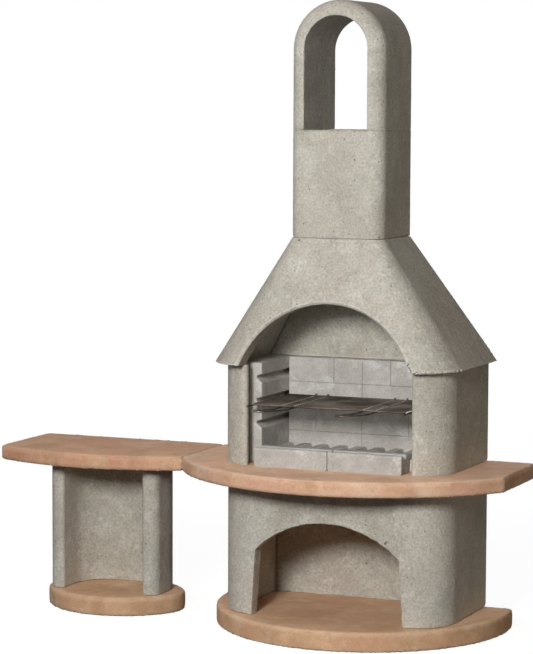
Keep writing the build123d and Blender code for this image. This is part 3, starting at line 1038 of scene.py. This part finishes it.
@dataclass
class GrillRack:
    """Welded rack: side rods, hairpin grips, thick end rods and thin cross wires. Metres."""

    rear: float = -0.040
    depth: float = 0.316
    width: float = 0.530
    rod_radius: float = 0.003
    rod_facets: int = 3
    wire_radius: float = 0.002
    wire_sides: int = 12
    wire_count: int = 19
    weld_sink: float = 0.0006
    end_gap: float = 0.006
    side_tip: float = 0.014
    grip_offset: float = 0.137
    grip_width: float = 0.042
    grip_reach: float = 0.230
    grip_lift: float = 0.013
    grip_bend: float = 0.15
    grip_level: float = 0.0375
    stop_height: float = 0.012
    stop_bend: float = 0.006
    nose_steps: int = 12
    bead_radius: float = 0.0034
    bead_steps: int = 2
    bead_inset: float = 0.000425
    bead_sink: float = 0.0008

    def front(self) -> float:
        """Place of the rack's front, without the grips."""
        return self.rear - self.depth

    def side_rod(self) -> float:
        """Distance of the side rods from the middle."""
        return self.width / 2 - self.rod_radius

    def last_wire(self) -> float:
        """Place of the rear thick rod."""
        return self.rear - 2 * self.rod_radius - self.end_gap

    def rod_level(self) -> float:
        """Height of the long rods' middle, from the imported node."""
        low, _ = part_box("grill_rack")
        return low.z + self.rod_radius

    def grip_path(self, middle: float) -> list[Vector]:
        """Centre line of one grip, from one turned-up end round the nose to the other."""
        z, front = self.rod_level(), self.front()
        half = self.grip_width / 2
        run = self.grip_reach - half - self.rod_radius
        stop = self.rear - self.rod_radius
        rise = Vector((0.0, -run, self.grip_lift)).normalized()

        def side(x: float) -> list[Vector]:
            """One rod of the grip."""
            corners = [
                Vector((x, stop, z + self.stop_height)),
                Vector((x, stop, z)),
                Vector((x, front - self.grip_level, z)),
                Vector((x, front - run, z + self.grip_lift)),
            ]
            first = rounded_path(corners[:3], self.stop_bend)[:-1]
            return first + rounded_path(corners[1:], self.grip_bend)[1:]

        centre = Vector((middle, front - run, z + self.grip_lift))
        nose = []
        for step in range(1, self.nose_steps):
            turn = math.pi * step / self.nose_steps
            across = Vector((-math.cos(turn) * half, 0.0, 0.0))
            nose.append(centre + across + rise * (math.sin(turn) * half))
        return side(middle - half) + nose + side(middle + half)[::-1]

    def rods(self) -> bpy.types.Mesh:
        """Mesh of every rod of the thicker size."""
        z, front, edge = self.rod_level(), self.front(), self.side_rod()
        half = self.width / 2
        over = z + 2 * self.rod_radius - self.weld_sink
        tip = front - self.side_tip
        paths = [[Vector((x, self.rear, z)), Vector((x, tip, z))] for x in (-edge, edge)]
        for y in (front + self.rod_radius, self.last_wire()):
            paths.append([Vector((-half, y, over)), Vector((half, y, over))])
        paths += [self.grip_path(x) for x in (-self.grip_offset, self.grip_offset)]
        curve = bpy.data.curves.new("rack_rods", "CURVE")
        curve.dimensions = "3D"
        curve.bevel_depth = self.rod_radius
        curve.bevel_resolution = self.rod_facets
        curve.use_fill_caps = True
        for points in paths:
            spline = curve.splines.new("POLY")
            spline.points.add(len(points) - 1)
            for slot, point in zip(spline.points, points):
                slot.co = (*point, 1.0)
        holder = new_piece("rack_rods", curve)
        mesh = plain_mesh(holder)
        bpy.data.objects.remove(holder)
        return mesh

    def build(self, workshop: Workshop) -> bpy.types.Object:
        """Makes the rack in place of its node.

        Args:
            workshop: Holds the finishes.

        Returns:
            The rack.
        """
        first = self.front() + self.rod_radius
        pitch = (self.last_wire() - first) / (self.wire_count + 1)
        outer, half = self.side_rod() - self.bead_inset, self.grip_width / 2
        columns = [-outer, outer]
        columns += [s * self.grip_offset + t * half for s in (-1, 1) for t in (-1, 1)]
        anchors = bpy.data.meshes.new("rod_columns")
        anchors.from_pydata([(x + self.width / 2, 0.0, 0.0) for x in columns], [], [])
        piece = new_piece("welded_rack", anchors)
        steel = workshop.material(RACK_STEEL)
        wire_z = self.rod_level() + self.rod_radius + self.wire_radius - self.weld_sink
        rack_wires().apply(piece, {
            "Wire count": self.wire_count,
            "Wire sides": self.wire_sides,
            "First wire": (-self.width / 2, first + pitch, wire_z),
            "Pitch": (0.0, pitch, 0.0),
            "Span": (self.width, 0.0, 0.0),
            "Wire radius": self.wire_radius,
            "Bead radius": self.bead_radius,
            "Bead steps": self.bead_steps,
            "Bead drop": (0.0, -self.wire_radius, -self.bead_sink),
            "Material": steel,
        })
        rods = self.rods()
        joined = bmesh.new()
        joined.from_mesh(piece.data)
        joined.from_mesh(rods)
        bmesh.ops.recalc_face_normals(joined, faces=joined.faces)
        for face in joined.faces:
            face.smooth = True
            face.material_index = 0
        joined.to_mesh(piece.data)
        joined.free()
        piece.data.materials.clear()
        piece.data.materials.append(steel)
        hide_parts("grill_rack")
        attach(piece, Body.RACK.value)
        LOG.info("%s: %d faces", piece.name, len(piece.data.polygons))
        return piece


@dataclass(frozen=True)
class Lamp:
    """Square area lamp: watts, degrees to the right of the front and above the horizon, metres."""

    name: str
    power: float
    side: float
    rise: float
    distance: float
    size: float
    colour: Colour = WHITE


@dataclass
class Studio:
    """Camera of the photograph, pale floor and soft lamps. Metres, radians; lens in millimetres."""

    camera_place: Point = (2.8681, -7.5554, 1.6956)
    yaw: float = 0.4031
    pitch: float = 0.0898
    roll: float = 0.0040
    lens: float = 137.27
    sensor: float = 36.0
    sight: float = 100.0
    target: Point = (0.0, -0.10, 1.0)
    floor_reach: float = 30.0
    floor_drop: float = 0.0004
    floor_glow: float = 0.95
    floor_tone: float = 0.12
    floor_near: float = 1.3
    floor_far: float = 3.2
    bounce_tone: float = 0.12
    ambient: float = 0.03
    ambient_colour: Colour = (1.0, 0.86, 0.74)
    lamps: tuple[Lamp, ...] = (
        Lamp("key", 250.0, 5.5, 15.0, 6.0, 1.0),
        Lamp("near", 11.0, 9.1, 13.3, 2.6, 1.0),
        Lamp("left", 48.0, -60.0, 62.0, 6.0, 2.0),
        Lamp("right", 27.0, 90.0, -4.0, 6.0, 1.0, (1.0, 0.84, 0.66)),
        Lamp("rear", 60.0, -166.0, 12.0, 6.0, 2.0),
    )

    def build_camera(self) -> None:
        """Places the camera where the photograph was taken from."""
        sin_yaw, cos_yaw = math.sin(self.yaw), math.cos(self.yaw)
        sin_pitch, cos_pitch = math.sin(self.pitch), math.cos(self.pitch)
        ahead = Vector((-sin_yaw * cos_pitch, cos_yaw * cos_pitch, -sin_pitch))
        level = Vector((cos_yaw, sin_yaw, 0.0))
        upright = level.cross(ahead)
        right = level * math.cos(self.roll) + upright * math.sin(self.roll)
        up = upright * math.cos(self.roll) - level * math.sin(self.roll)
        data = bpy.data.cameras.new("camera")
        data.sensor_width = self.sensor
        data.lens = self.lens
        data.clip_end = self.sight
        camera = new_piece("camera", data)
        turn = Matrix((right, up, -ahead)).transposed()
        camera.matrix_world = Matrix.Translation(self.camera_place) @ turn.to_4x4()
        bpy.context.scene.camera = camera

    def hang(self, lamp: Lamp) -> None:
        """Hangs a lamp so that it looks at the barbecue."""
        data = bpy.data.lights.new(lamp.name, "AREA")
        data.energy = lamp.power
        data.size = lamp.size
        data.color = lamp.colour
        side, rise = math.radians(lamp.side), math.radians(lamp.rise)
        level = math.cos(rise)
        way = Vector((math.sin(side) * level, -math.cos(side) * level, math.sin(rise)))
        place = Matrix.Translation(Vector(self.target) + way * lamp.distance)
        turn = way.to_track_quat("Z", "Y").to_matrix().to_4x4()
        new_piece(lamp.name, data).matrix_world = place @ turn

    def seen(self, sheet: Sheet) -> Term:
        """1 for rays that show the background itself, in the picture or in a reflection."""
        rays = sheet.node("ShaderNodeLightPath", output="Is Camera Ray")
        either = rays.greatest(rays.beside("Is Glossy Ray"))
        return either.greatest(rays.beside("Is Transmission Ray"))

    def build_world(self) -> None:
        """White to the eye and in reflections, and a weak fill for everything else."""
        world = bpy.data.worlds.new("studio")
        world.use_nodes = True
        world.node_tree.nodes.clear()
        bpy.context.scene.world = world
        sheet = Sheet(world.node_tree)
        fill = sheet.node("ShaderNodeBackground", None, {
            "Color": (*self.ambient_colour, 1.0), "Strength": self.ambient,
        })
        white = sheet.node("ShaderNodeBackground", None, {"Color": (*WHITE, 1.0), "Strength": 1.0})
        air = sheet.node("ShaderNodeMixShader", None, {0: self.seen(sheet), 1: fill, 2: white})
        sheet.link_out("ShaderNodeOutputWorld", "Surface", air)

    def build_floor(self) -> None:
        """A plain floor that is white, takes the shadow and throws little light back."""
        sheet = Canvas("studio_floor")

        def glow(strength: float) -> Term:
            """White light of that strength."""
            given = {"Color": (*WHITE, 1.0), "Strength": strength}
            return sheet.node("ShaderNodeEmission", None, given)

        def paint(tone: float) -> Term:
            """Grey paint of that tone."""
            return sheet.node("ShaderNodeBsdfDiffuse", None, {"Color": (tone, tone, tone, 1.0)})

        lit = {0: glow(self.floor_glow), 1: paint(self.floor_tone)}
        near = sheet.node("ShaderNodeAddShader", None, lit)
        away = sheet.vector("LENGTH", sheet.place(), output="Value")
        away = away.ramp(self.floor_near, self.floor_far)
        pale = sheet.node("ShaderNodeMixShader", None, {0: away, 1: near, 2: glow(1.0)})
        parts = {0: self.seen(sheet), 1: paint(self.bounce_tone), 2: pale}
        surface = sheet.node("ShaderNodeMixShader", None, parts)
        sheet.link_out("ShaderNodeOutputMaterial", "Surface", surface)
        reach, z = self.floor_reach, -self.floor_drop
        mesh = bpy.data.meshes.new("floor")
        corners = [(-reach, -reach, z), (reach, -reach, z), (reach, reach, z), (-reach, reach, z)]
        mesh.from_pydata(corners, [], [(0, 1, 2, 3)])
        mesh.materials.append(sheet.material)
        new_piece("floor", mesh)

    def build(self) -> None:
        """Camera, world, floor and lamps."""
        bpy.context.scene.view_settings.view_transform = "Standard"
        self.build_camera()
        self.build_world()
        self.build_floor()
        for lamp in self.lamps:
            self.hang(lamp)


def main() -> None:
    """Builds the studio and the pieces in order."""
    logging.basicConfig(level=logging.INFO, format="%(message)s")
    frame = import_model()
    workshop = Workshop(frame)
    Studio().build()
    for group in (MainUnit(), FireboxLining(), SideTable()):
        for casting in group.castings():
            casting.build(workshop)
    GrillRack().build(workshop)


if __name__ == "__main__":
    main()
